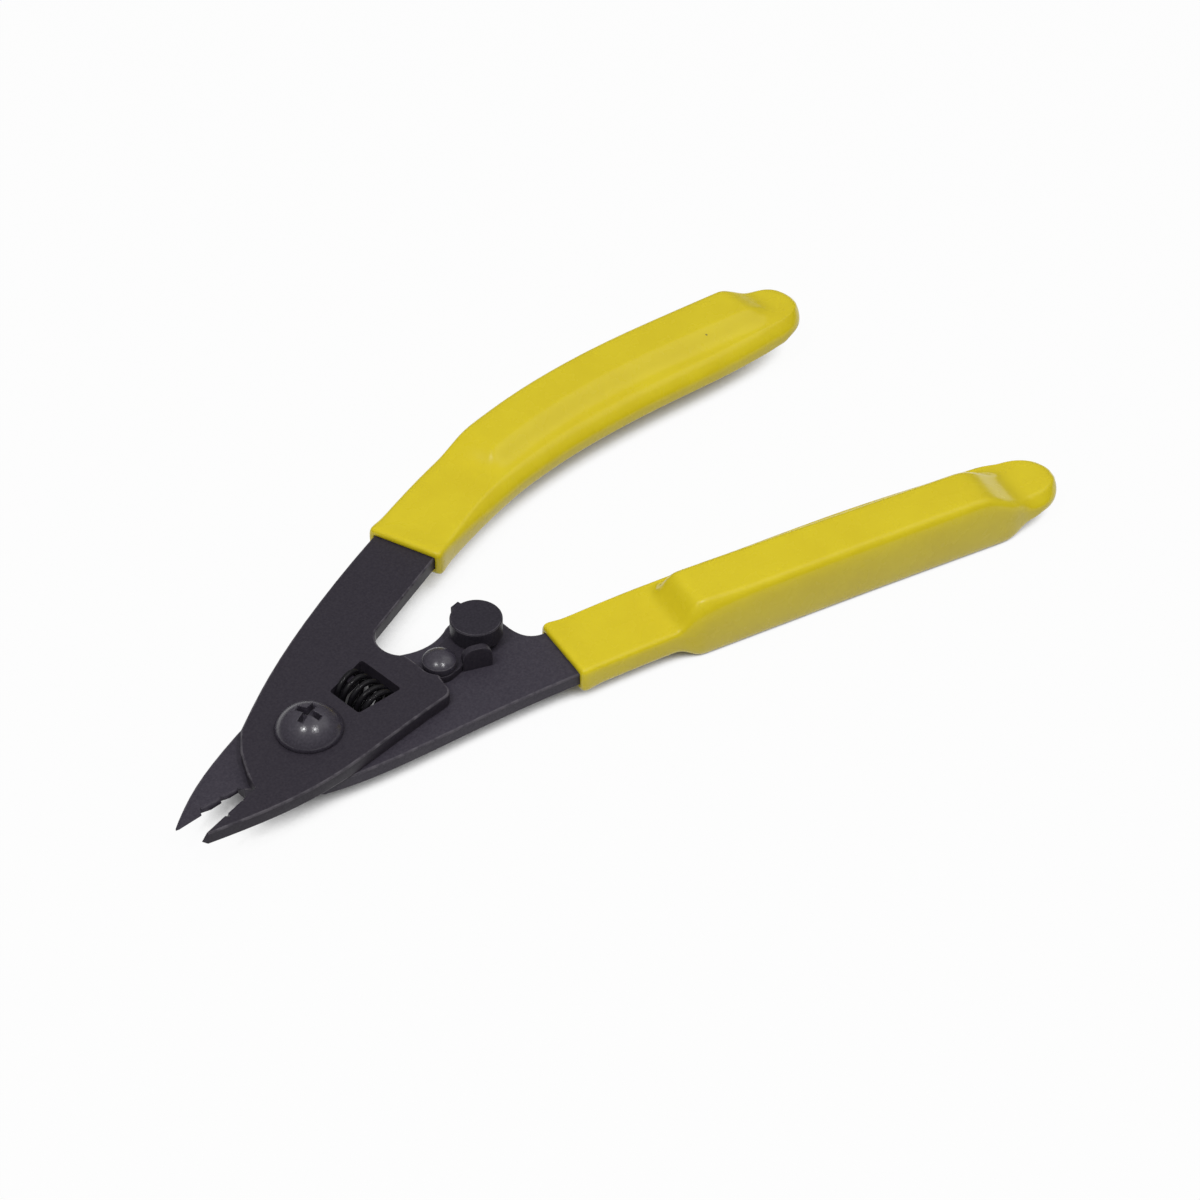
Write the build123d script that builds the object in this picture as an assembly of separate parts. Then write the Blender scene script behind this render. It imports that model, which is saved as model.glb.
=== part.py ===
from build123d import *
import math
import os

# Fibre stripper: two stamped plates crossing on a pivot screw like scissors, each with a vinyl grip.
# The plates are drawn about the pivot axis, with height zero at the sliding face between them.
# Sizes are in millimetres and angles in degrees.

# Plates
PLATE_T = 2.5
PLATE_GAP = 0.06
FRONT_BEVEL_SETBACK = 1.05
REAR_BEVEL_SETBACK = 2.9

# Pivot
SHANK_R = 3.0
RUN_CLEAR = 0.05
HEAD_R = 5.6
HEAD_H = 4.1
HEAD_RIM = 0.6
RECESS_SPAN = 4.7
RECESS_W = 1.15
RECESS_DEPTH = 1.9
RECESS_TURN = 22.0
NUT_AF = 10.0
NUT_T = 2.7
NUT_BREAK = 0.5

# Jaws: each stripping hole is a pair of facing V notches at one distance from the pivot
HOLE_RADII = (22.3, 18.4, 15.2)
FRONT_NOTCH_DEPTHS = (1.75, 1.35, 1.1)
REAR_NOTCH_DEPTHS = (1.7, 1.5, 1.2)
NOTCH_ANGLE = 58.0
FRONT_EDGE_TIP = (-26.3, -7.55)
FRONT_EDGE_TURN = 15.4
FRONT_EDGE_L = 12.3
REAR_EDGE_TIP = (-27.5, -3.1)
REAR_EDGE_TURN = 3.8
REAR_EDGE_L = 13.2
BEVEL_LEAD = 1.0
REAR_NOSE = (-27.9, -2.6)

# Return spring in its windows
SPRING_R = 3.1
SPRING_WIRE_R = 0.5
SPRING_TURNS = 4.6
SPRING_END_TURNS = 0.4
SPRING_X = 13.0
WINDOW_LEFT = 7.7
WINDOW_RIGHT = 17.1
FRONT_SEAT_Y = 6.65
FRONT_SEAT_SLOPE = 17.6
REAR_SEAT_Y = -1.58
REAR_SEAT_SLOPE = 1.2
SEAT_RELIEF = 0.3
NIB_W = 1.6
NIB_L = 1.3

# Lock
RIVET_AT = (26.0, -0.3)
RIVET_SHANK_R = 1.5
RIVET_HEAD_R = 2.85
RIVET_HEAD_H = 2.6
RIVET_HEAD_RIM = 1.3
RIVET_TAIL_R = 2.3
RIVET_TAIL_H = 0.8
RIVET_TAIL_RIM = 0.25
LEVER_T = 1.3
LEVER_GAP = 0.03
EYE_R = 3.0
SLOT_CLEAR = 0.35
KNOB_REACH = 9.7
KNOB_TURN = 13.8
KNOB_R = 4.4
KNOB_H = 3.5
KNOB_SPIGOT_R = 1.4
KNOB_EAR_W = 1.8
KNOB_EAR_OUT = 0.4
KNOB_EAR_H = 1.9
KNOB_EAR_TURN = 101.0
KNOB_BREAK = 0.2
HUMP_MARGIN = 1.4
ARM_INSET = 1.2
TAB_REACH = 6.2
TAB_TURN = -28.5
TAB_L = 5.0
TAB_T = 1.2
TAB_ROOT = 2.2
TAB_ROUND = 1.9
TAB_TOP = 4.3

# Grips
COAT = 1.0
SLEEVE_ROUND = 1.0
RIDGE_W = 9.4
RIDGE_T = 11.3
RIDGE_ROUND = 1.8

# Handles: where each leaves its grip's mouth, how far it runs along the tool and how far it shifts sideways
FRONT_MOUTH = (37.9, 25.2)
FRONT_LENGTH = 88.5
FRONT_SHIFT = 10.8
REAR_MOUTH = (44.1, -9.6)
REAR_LENGTH = 87.7
REAR_SHIFT = -16.4
# Strip under the vinyl at each station: share of the length, share of the shift, width and heading
FRONT_STATIONS = (
    (0.0, 0.0, 11.9, 22.0),
    (0.253, 0.722, 12.4, 14.5),
    (0.376, 0.889, 11.9, 8.0),
    (0.606, 1.0, 12.1, 0.0),
    (0.836, 0.907, 11.7, -2.5),
    (1.0, 0.889, 11.2, 0.0),
)
REAR_STATIONS = (
    (0.0, 0.0, 11.6, -8.5),
    (0.2, 0.152, 12.0, -9.8),
    (0.615, 0.549, 12.0, -10.9),
    (1.0, 1.0, 11.2, -12.5),
)
# Middle of the grips' raised bars: share of the length, share of the shift and heading
FRONT_RIDGE_STATIONS = (
    (0.253, 0.935, 16.0),
    (0.448, 1.259, 6.5),
    (0.603, 1.333, 0.5),
    (0.751, 1.269, -4.2),
    (0.977, 1.093, -5.0),
)
REAR_RIDGE_STATIONS = (
    (0.238, 0.378, -10.6),
    (0.569, 0.707, -10.6),
    (0.946, 1.091, -10.9),
)

FRONT_Z = PLATE_GAP / 2
REAR_Z = -PLATE_GAP / 2 - PLATE_T
LEVER_Z = -PLATE_GAP / 2 + LEVER_GAP
LEVER_TOP = LEVER_Z + LEVER_T


def polar(radius, turn, at=(0.0, 0.0)):
    """Point at a radius and turn from a centre."""
    angle = math.radians(turn)
    return (at[0] + radius * math.cos(angle), at[1] + radius * math.sin(angle))


KNOB_AT = polar(KNOB_REACH, KNOB_TURN, RIVET_AT)


def stations(mouth, length, shift, table):
    """Stations of a handle or its bar in plan, with what the table adds to each."""
    return [(mouth[0] + along * length, mouth[1] + share * shift, *rest) for along, share, *rest in table]


FRONT_STRIP = stations(FRONT_MOUTH, FRONT_LENGTH, FRONT_SHIFT, FRONT_STATIONS)
FRONT_RIDGE = stations(FRONT_MOUTH, FRONT_LENGTH, FRONT_SHIFT, FRONT_RIDGE_STATIONS)
REAR_STRIP = stations(REAR_MOUTH, REAR_LENGTH, REAR_SHIFT, REAR_STATIONS)
REAR_RIDGE = stations(REAR_MOUTH, REAR_LENGTH, REAR_SHIFT, REAR_RIDGE_STATIONS)

# Place of the pivot axis in the part's own frame, whose origin is in the middle below the grips
END_R = REAR_STRIP[-1][2] / 2 + COAT
CREST_Y = max(y for _, y, _ in FRONT_RIDGE) + RIDGE_W / 2
PIVOT_X = -(REAR_STRIP[-1][0] + END_R + REAR_NOSE[0]) / 2
PIVOT_Y = -(CREST_Y + REAR_STRIP[-1][1] - END_R) / 2
MID_Z = RIDGE_T / 2


def side_points(strip, side, grow=0.0):
    """Points along one side of a strip: side is 1 for its left and -1 for its right."""
    return [polar(width / 2 + grow, turn + side * 90, (x, y)) for x, y, width, turn in strip]


def heading(turn):
    """Unit direction in plan."""
    return polar(1.0, turn)


def upright(face, low, height):
    """Solid that stands on a plan face, from a low height upwards."""
    return Pos(0, 0, low) * extrude(face, height, dir=(0, 0, 1))


def slab(edges, low, height):
    """Upright solid over a closed run of plan edges."""
    return upright(Face(Wire(edges)), low, height)


def strip_side(strip, side, grow=0.0):
    """One long side of a strip: the left runs towards the end, and the right runs back."""
    tangents = [heading(strip[0][3]), heading(strip[-1][3])]
    line = Spline(*side_points(strip, side, grow), tangents=tangents)
    return line if side > 0 else line.reversed()


def strip_cap(strip, grow=0.0):
    """Round end of a strip, from its left side to its right."""
    x, y, width, turn = strip[-1]
    reach = width / 2 + grow
    return ThreePointArc(*[polar(reach, turn + lean, (x, y)) for lean in (90, 0, -90)])


def edge_line(tip, turn, length):
    """Cutting edge of a jaw, as its two ends."""
    return tip, polar(length, turn, tip)


def edge_station(tip, turn, radius):
    """Point on a cutting edge at a distance from the pivot, on the jaw's side of it."""
    ux, uy = heading(turn)
    along = tip[0] * ux + tip[1] * uy
    offset = -tip[0] * uy + tip[1] * ux
    target = -math.sqrt(radius**2 - offset**2)
    step = target - along
    return (tip[0] + step * ux, tip[1] + step * uy)


def jaw_cuts(tip, turn, length, setback, depths, side, low, sharp_low):
    """Ground bevel and V notches of a jaw whose steel lies on the given side of its edge."""
    high = low + PLATE_T
    sharp = low if sharp_low else high
    blunt = high if sharp_low else low
    along = heading(turn)
    plane = Plane(origin=(tip[0], tip[1], 0), x_dir=polar(1, turn + side * 90) + (0,), z_dir=along + (0,))
    flip = 1 if plane.y_dir.Z > 0 else -1
    corners = ((0, sharp), (setback, blunt), (-1, blunt), (-1, sharp))
    profile = Polyline(*[(across, flip * z) for across, z in corners], close=True)
    cuts = plane * upright(make_face(profile), -BEVEL_LEAD, BEVEL_LEAD + length)
    for radius, depth in zip(HOLE_RADII, depths):
        at = edge_station(tip, turn, radius)
        apex = polar(depth, turn + side * 90, at)
        reach = 2 * depth + 1
        left = polar(reach, turn - side * 90 - NOTCH_ANGLE / 2, apex)
        right = polar(reach, turn - side * 90 + NOTCH_ANGLE / 2, apex)
        notch = make_face(Polyline(apex, left, right, close=True))
        cuts += upright(notch, low - 1, PLATE_T + 2)
    return cuts


def seat_point(seat_y, slope, x):
    """Point at x on a spring seat, whose y is given at the foot of the spring."""
    return (x, seat_y + (x - SPRING_X) * math.tan(math.radians(slope)))


def spring_bend():
    """Centre and radius of the spring's bent axis, which meets both seats squarely."""
    spread = math.tan(math.radians(FRONT_SEAT_SLOPE)) - math.tan(math.radians(REAR_SEAT_SLOPE))
    reach = (FRONT_SEAT_Y - REAR_SEAT_Y) / spread
    centre = seat_point(REAR_SEAT_Y, REAR_SEAT_SLOPE, SPRING_X - reach)
    return centre, reach / math.cos(math.radians(REAR_SEAT_SLOPE))


def window(low, front_grow, rear_grow):
    """Spring window of a plate, grown past the seat that the plate doesn't carry."""
    corners = (
        seat_point(FRONT_SEAT_Y + front_grow, FRONT_SEAT_SLOPE, WINDOW_LEFT),
        seat_point(FRONT_SEAT_Y + front_grow, FRONT_SEAT_SLOPE, WINDOW_RIGHT - 1),
        seat_point(REAR_SEAT_Y - rear_grow, REAR_SEAT_SLOPE, WINDOW_RIGHT),
        seat_point(REAR_SEAT_Y - rear_grow, REAR_SEAT_SLOPE, WINDOW_LEFT + 0.7),
    )
    cut = upright(make_face(Polyline(*corners, close=True)), low - 1, PLATE_T + 2)
    return fillet(cut.edges().filter_by(Axis.Z), 0.5)


def nib(slope, way, low):
    """Small tongue of a plate that stands from a spring seat into the coil."""
    centre, radius = spring_bend()
    at = polar(radius, slope, centre)
    body = Box(NIB_W, NIB_L + 1, PLATE_T, align=(Align.CENTER, Align.CENTER, Align.MIN))
    return Pos(at[0], at[1], low) * Rot(0, 0, slope) * Pos(0, way * (NIB_L - 1) / 2, 0) * body


def bore(radius, at, low, high):
    """Round hole cutter along the height."""
    cutter = Cylinder(radius, high - low, align=(Align.CENTER, Align.CENTER, Align.MIN))
    return Pos(at[0], at[1], low) * cutter


def front_plate():
    """Upper plate: one handle and the jaw on the other side of the pivot."""
    edge = (FRONT_EDGE_TIP, FRONT_EDGE_TURN, FRONT_EDGE_L)
    tip, root = edge_line(*edge)
    shoulder_r = math.hypot(*RIVET_AT) - EYE_R - SLOT_CLEAR
    rivet_turn = math.degrees(math.atan2(RIVET_AT[1], RIVET_AT[0]))
    slot_r = EYE_R + SLOT_CLEAR
    slot_top = polar(shoulder_r, 11.0)
    slot_side = polar(shoulder_r, rivet_turn)
    horn = polar(slot_r, 226.0, RIVET_AT)
    horn_out = polar(slot_r + 0.75, 235.0, RIVET_AT)
    shoulder_side = (23.3, -5.9)
    shoulder_end = (21.6, -7.85)
    crook_top = (22.2, 11.9)
    crook_low = (21.7, 4.75)
    back = (-8.5, 6.9)
    nose = (-25.7, -8.75)
    neck_out = side_points(FRONT_STRIP, 1)[0]
    neck_in = side_points(FRONT_STRIP, -1)[0]
    neck_turn = FRONT_STRIP[0][3]
    outline = [
        Spline(back, (0, 12.8), (20, 23.8), neck_out, tangents=(heading(36), heading(neck_turn))),
        strip_side(FRONT_STRIP, 1),
        strip_cap(FRONT_STRIP),
        strip_side(FRONT_STRIP, -1),
        Line(neck_in, crook_top),
        ThreePointArc(crook_top, (20.3, 8.3), crook_low),
        Line(crook_low, slot_top),
        ThreePointArc(slot_top, polar(shoulder_r, 5.0), slot_side),
        ThreePointArc(slot_side, polar(slot_r, 205.0, RIVET_AT), horn),
        ThreePointArc(horn, polar(slot_r + 0.25, 233.0, RIVET_AT), horn_out),
        Line(horn_out, shoulder_side),
        ThreePointArc(shoulder_side, (22.8, -7.2), shoulder_end),
        Spline(shoulder_end, (13.7, -8.8), (6.3, -9.9), (-0.4, -10.8), (-10, -11.0), (-20, -9.8), nose),
        Line(nose, tip),
        Line(tip, root),
        Line(root, (-11.4, 2.9)),
        Line((-11.4, 2.9), back),
    ]
    body = slab(outline, FRONT_Z, PLATE_T)
    body -= jaw_cuts(*edge, FRONT_BEVEL_SETBACK, FRONT_NOTCH_DEPTHS, -1, FRONT_Z, True)
    body -= window(FRONT_Z, 0, SEAT_RELIEF)
    body += nib(FRONT_SEAT_SLOPE, -1, FRONT_Z)
    return body - bore(SHANK_R + RUN_CLEAR, (0, 0), FRONT_Z - 1, FRONT_Z + PLATE_T + 1)


def rear_plate():
    """Lower plate: the other handle and jaw, with the lock's hump beside the handle."""
    edge = (REAR_EDGE_TIP, REAR_EDGE_TURN, REAR_EDGE_L)
    tip, root = edge_line(*edge)
    hump_r = KNOB_R + HUMP_MARGIN
    hump_top = polar(hump_r, 125.0, KNOB_AT)
    hump_side = polar(hump_r, 0.0, KNOB_AT)
    neck_in = side_points(REAR_STRIP, 1)[0]
    neck_out = side_points(REAR_STRIP, -1)[0]
    neck_turn = REAR_STRIP[0][3]
    nose = REAR_NOSE
    heel = (-4.0, -9.4)
    outline = [
        Spline(nose, (-21.5, 2.3), (-10.9, 7.6), (0, 11.2), (10, 11.6), (18, 9.6), (25, 6.25), hump_top),
        ThreePointArc(hump_top, polar(hump_r, 60.0, KNOB_AT), hump_side),
        Spline(hump_side, neck_in, tangents=((0, -1), heading(neck_turn))),
        strip_side(REAR_STRIP, 1),
        strip_cap(REAR_STRIP),
        strip_side(REAR_STRIP, -1),
        Spline(neck_out, (22.3, -13.0), heel, tangents=(heading(neck_turn + 180), heading(162))),
        Spline(heel, (-9.5, -5.6), root),
        Line(root, tip),
        Line(tip, nose),
    ]
    body = slab(outline, REAR_Z, PLATE_T)
    body -= jaw_cuts(*edge, REAR_BEVEL_SETBACK, REAR_NOTCH_DEPTHS, 1, REAR_Z, False)
    body -= window(REAR_Z, SEAT_RELIEF, 0)
    body += nib(REAR_SEAT_SLOPE, 1, REAR_Z)
    body -= bore(SHANK_R + RUN_CLEAR, (0, 0), REAR_Z - 1, REAR_Z + PLATE_T + 1)
    return body - bore(RIVET_SHANK_R, RIVET_AT, REAR_Z - 1, REAR_Z + PLATE_T + 1)


def ridge_bar(ridge):
    """Rounded bar along the outer side of a grip."""
    strip = [(x, y, RIDGE_W, turn) for x, y, turn in ridge]
    left = side_points(strip, 1)
    right = side_points(strip, -1)
    outline = [
        strip_side(strip, 1),
        Line(left[-1], right[-1]),
        strip_side(strip, -1),
        Line(right[0], left[0]),
    ]
    bar = slab(outline, -RIDGE_T / 2, RIDGE_T)
    bar = fillet(bar.edges().filter_by(Axis.Z), RIDGE_ROUND)
    levels = bar.edges().group_by(Axis.Z)
    return fillet(levels[0] + levels[-1], RIDGE_ROUND)


def grip(strip, ridge, plate, plate_z):
    """Vinyl grip of one handle: a sleeve round the strip with a raised bar along its outer side."""
    mouth = (side_points(strip, -1, COAT)[0], side_points(strip, 1, COAT)[0])
    outline = [
        strip_side(strip, 1, COAT),
        strip_cap(strip, COAT),
        strip_side(strip, -1, COAT),
        Line(*mouth),
    ]
    sleeve = slab(outline, plate_z - COAT, PLATE_T + 2 * COAT)
    levels = sleeve.edges().group_by(Axis.Z)
    rims = (levels[0] + levels[-1]).filter_by(GeomType.LINE, reverse=True)
    return fillet(rims, SLEEVE_ROUND) + ridge_bar(ridge) - plate


def dome(radius, height, rim):
    """Button head standing on height zero, with an upright rim below its crown."""
    rise = height - rim
    crown_r = (radius**2 + rise**2) / (2 * rise)
    stem = Cylinder(radius, height, align=(Align.CENTER, Align.CENTER, Align.MIN))
    return stem & (Pos(0, 0, height - crown_r) * Sphere(crown_r))


def pivot_screw():
    """Cross recessed screw that carries both plates, with its shank down to the nut's underside."""
    seat = FRONT_Z + PLATE_T + RUN_CLEAR
    body = Pos(0, 0, seat) * dome(HEAD_R, HEAD_H, HEAD_RIM)
    for turn in (RECESS_TURN, RECESS_TURN + 90):
        slot = Box(RECESS_SPAN, RECESS_W, RECESS_DEPTH, align=(Align.CENTER, Align.CENTER, Align.MAX))
        body -= Pos(0, 0, seat + HEAD_H) * Rot(0, 0, turn) * slot
    return body + bore(SHANK_R, (0, 0), REAR_Z - NUT_T, seat)


def pivot_nut():
    """Hexagon nut against the lower plate."""
    blank = upright(RegularPolygon(NUT_AF / 2, 6, major_radius=False), 0, NUT_T)
    crown = Cylinder(NUT_AF / 2 * 1.13, NUT_T, align=(Align.CENTER, Align.CENTER, Align.MIN))
    crown = chamfer(crown.edges().sort_by(Axis.Z)[0], NUT_BREAK)
    body = Pos(0, 0, REAR_Z - NUT_T) * (blank & crown)
    return body - bore(SHANK_R, (0, 0), REAR_Z - NUT_T - 1, REAR_Z + 1)


def return_spring():
    """Compression spring from the lower plate's seat to the upper plate's, with closed ends."""
    centre, radius = spring_bend()
    end = math.degrees(math.asin(SPRING_WIRE_R / (radius - SPRING_R)))
    rising = SPRING_TURNS - 2 * SPRING_END_TURNS
    count = round(8 * SPRING_TURNS)
    points = []
    for step in range(count + 1):
        turns = SPRING_TURNS * step / count
        climb = min(max(turns - SPRING_END_TURNS, 0), rising) / rising
        turn = REAR_SEAT_SLOPE + end + climb * (FRONT_SEAT_SLOPE - REAR_SEAT_SLOPE - 2 * end)
        out, up = polar(SPRING_R, 360 * turns)
        points.append(polar(radius + out, turn, centre) + (up,))
    path = Spline(*points)
    section = Plane(origin=path @ 0, z_dir=path % 0) * Circle(SPRING_WIRE_R)
    return sweep(section, path, is_frenet=True)


def lock_rivet():
    """Shouldered rivet of the lock, headed over the lever and below the lower plate."""
    seat = LEVER_TOP + RUN_CLEAR
    body = Pos(RIVET_AT[0], RIVET_AT[1], seat) * dome(RIVET_HEAD_R, RIVET_HEAD_H, RIVET_HEAD_RIM)
    body += bore(RIVET_SHANK_R, RIVET_AT, REAR_Z, seat)
    tail = Rot(180, 0, 0) * dome(RIVET_TAIL_R, RIVET_TAIL_H, RIVET_TAIL_RIM)
    return body + Pos(RIVET_AT[0], RIVET_AT[1], REAR_Z) * tail


def lock_lever():
    """Swinging lock lever with an upturned tab that stands in the way of the upper plate's horn."""
    place = Pos(RIVET_AT[0], RIVET_AT[1], LEVER_Z) * Rot(0, 0, KNOB_TURN)
    end_r = KNOB_R - ARM_INSET
    arm = make_hull((Circle(EYE_R) + Pos(KNOB_REACH, 0) * Circle(end_r)).edges())
    body = place * upright(arm, 0, LEVER_T)
    tab_at = polar(TAB_REACH, TAB_TURN, RIVET_AT)
    turn = TAB_TURN + 8.5
    low = Box(TAB_L, TAB_T + TAB_ROOT, LEVER_T, align=(Align.CENTER, Align.MIN, Align.MIN))
    tall = Box(TAB_L, TAB_T, TAB_TOP - LEVER_Z, align=(Align.CENTER, Align.MIN, Align.MIN))
    tall = fillet(tall.edges().filter_by(Axis.Y).group_by(Axis.Z)[-1], TAB_ROUND)
    tab_place = Pos(tab_at[0], tab_at[1], LEVER_Z) * Rot(0, 0, turn) * Pos(0, -TAB_T / 2, 0)
    body += tab_place * low + tab_place * tall
    body -= bore(RIVET_SHANK_R + RUN_CLEAR, RIVET_AT, LEVER_Z - 1, LEVER_TOP + 1)
    return body - bore(KNOB_SPIGOT_R, KNOB_AT, LEVER_Z - 1, LEVER_TOP + 1)


def lock_knob():
    """Thumb drum riveted to the end of the lever, with a small ear at its rim."""
    drum = Cylinder(KNOB_R, KNOB_H, align=(Align.CENTER, Align.CENTER, Align.MIN))
    drum = chamfer(drum.edges().filter_by(GeomType.CIRCLE), KNOB_BREAK)
    ear = Box(KNOB_EAR_OUT + 1, KNOB_EAR_W, KNOB_EAR_H, align=(Align.MAX, Align.CENTER, Align.MAX))
    ear_place = Rot(0, 0, KNOB_EAR_TURN) * Pos(KNOB_R + KNOB_EAR_OUT, 0, KNOB_H)
    body = Pos(KNOB_AT[0], KNOB_AT[1], LEVER_TOP) * (drum + ear_place * ear)
    return body + bore(KNOB_SPIGOT_R, KNOB_AT, LEVER_Z, LEVER_TOP)


front = front_plate()
rear = rear_plate()
pieces = {
    "front_plate": front,
    "rear_plate": rear,
    "front_grip": grip(FRONT_STRIP, FRONT_RIDGE, front, FRONT_Z),
    "rear_grip": grip(REAR_STRIP, REAR_RIDGE, rear, REAR_Z),
    "pivot_screw": pivot_screw(),
    "pivot_nut": pivot_nut(),
    "return_spring": return_spring(),
    "lock_rivet": lock_rivet(),
    "lock_lever": lock_lever(),
    "lock_knob": lock_knob(),
}

os.makedirs("parts", exist_ok=True)
for name, piece in pieces.items():
    export_step(Pos(PIVOT_X, PIVOT_Y, MID_Z) * piece, f"parts/{name}.step")
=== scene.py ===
import logging
import math
from dataclasses import dataclass
from enum import Enum
from typing import Iterable, Sequence

import bmesh
import bpy
from mathutils import Matrix, Vector


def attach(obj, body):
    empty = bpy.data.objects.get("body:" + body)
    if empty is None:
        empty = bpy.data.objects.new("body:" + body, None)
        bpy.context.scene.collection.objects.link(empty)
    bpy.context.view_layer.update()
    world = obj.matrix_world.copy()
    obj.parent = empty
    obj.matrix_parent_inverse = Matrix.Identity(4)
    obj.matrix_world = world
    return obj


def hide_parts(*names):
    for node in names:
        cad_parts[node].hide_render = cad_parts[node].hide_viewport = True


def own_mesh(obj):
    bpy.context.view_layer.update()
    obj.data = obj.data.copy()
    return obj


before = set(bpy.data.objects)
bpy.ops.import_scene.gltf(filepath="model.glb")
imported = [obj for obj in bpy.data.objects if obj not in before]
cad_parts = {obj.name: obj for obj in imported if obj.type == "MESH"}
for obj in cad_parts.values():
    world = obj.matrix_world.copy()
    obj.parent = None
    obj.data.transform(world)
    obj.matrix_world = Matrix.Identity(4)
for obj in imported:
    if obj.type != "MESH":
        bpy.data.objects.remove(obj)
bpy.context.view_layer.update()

LOG = logging.getLogger("fibre_stripper")

# Millimetres to metres, and the pivot axis in the part's frame, in millimetres
MM = 0.001
PIVOT = Vector((-55.25, -5.848, 5.65))

# Corner attribute that is 1 on the broken edges, which get a lighter tone: partly rubbed wear, partly
# painted highlight
EDGE_WEAR_AND_SHEEN = "wear_and_sheen"

# Sockets of a map range node: what it takes, then what it gives
SPAN_SOCKETS = ("From Min", "From Max", "To Min", "To Max")

# Rings of a grip. Distances from the mouth in millimetres: the pocket's last, the lip's with shares of its
# bead, and the sleeve's. Then shares of the flare's length, how far before its drop the tail's start and
# how far short of the end they stop, and angles round the end in degrees
POCKET_RINGS = (10.0, 4.0, 0.4, 0.0)
LIP_RINGS = ((0.0, -1.8), (0.15, -0.2), (0.6, 1.0), (1.5, 0.9), (2.8, 0.3))
SLEEVE_RINGS = (4.2, 6.0)
FLARE_RINGS = (-0.3, 0.0, 0.2, 0.4, 0.6, 0.8, 1.0, 1.3)
TAIL_REACH = (1.5, 0.2)
END_RINGS = (12, 24, 36, 47, 57, 66, 74, 81, 87)

# A merged copy of a node: distance of doubles in millimetres, angles in degrees up to which faces count as
# one and from which edges shade sharp, and least upward share of a flat face's normal
DOUBLES = 0.02
ONE_FACE = 0.6
SHARP = 40
LEVEL = 0.99

Point2 = tuple[float, float]
Point3 = tuple[float, float, float]
Tone = tuple[int, int, int]


class Slot(Enum):
    """Material slots of the record."""

    PLATE = "blackened_steel"
    HARDWARE = "blackened_hardware"
    SPRING = "spring_steel"
    VINYL = "yellow_vinyl"


def linear(red: int, green: int, blue: int) -> tuple[float, float, float, float]:
    """Linear colour of an 8 bit display colour.

    Args:
        red: Red level, 0 to 255.
        green: Green level, 0 to 255.
        blue: Blue level, 0 to 255.

    Returns:
        Linear red, green, blue and an alpha of 1.
    """
    levels = [value / 255 for value in (red, green, blue)]
    bent = [v / 12.92 if v <= 0.04045 else ((v + 0.055) / 1.055) ** 2.4 for v in levels]
    return bent[0], bent[1], bent[2], 1.0


def in_frame(point: Sequence[float]) -> Vector:
    """Point about the pivot, in millimetres, as a point of the part's frame in metres.

    Args:
        point: Place about the pivot, with height zero between the plates.

    Returns:
        The same place in metres.
    """
    return (Vector(point) + PIVOT) * MM


def ramp(value: float, start: float, end: float) -> float:
    """Smooth step from 0 at the start to 1 at the end.

    Args:
        value: Where the step is read.
        start: Where it leaves 0.
        end: Where it reaches 1.

    Returns:
        Share of the step.
    """
    share = min(max((value - start) / (end - start), 0.0), 1.0)
    return share * share * (3 - 2 * share)


def mix(first: float, second: float, share: float) -> float:
    """Value that lies a share of the way from the first to the second."""
    return first + share * (second - first)


def map_range(
    tree: bpy.types.NodeTree, source: bpy.types.NodeSocket, span: Sequence[float]
) -> bpy.types.Node:
    """Maps a value to another range.

    Args:
        tree: Node tree that gets the node.
        source: Socket that gives the value.
        span: Lowest and highest value taken, then lowest and highest value given.

    Returns:
        The map range node.
    """
    node = tree.nodes.new("ShaderNodeMapRange")
    for name, value in zip(SPAN_SOCKETS, span):
        node.inputs[name].default_value = value
    tree.links.new(source, node.inputs["Value"])
    return node


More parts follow.
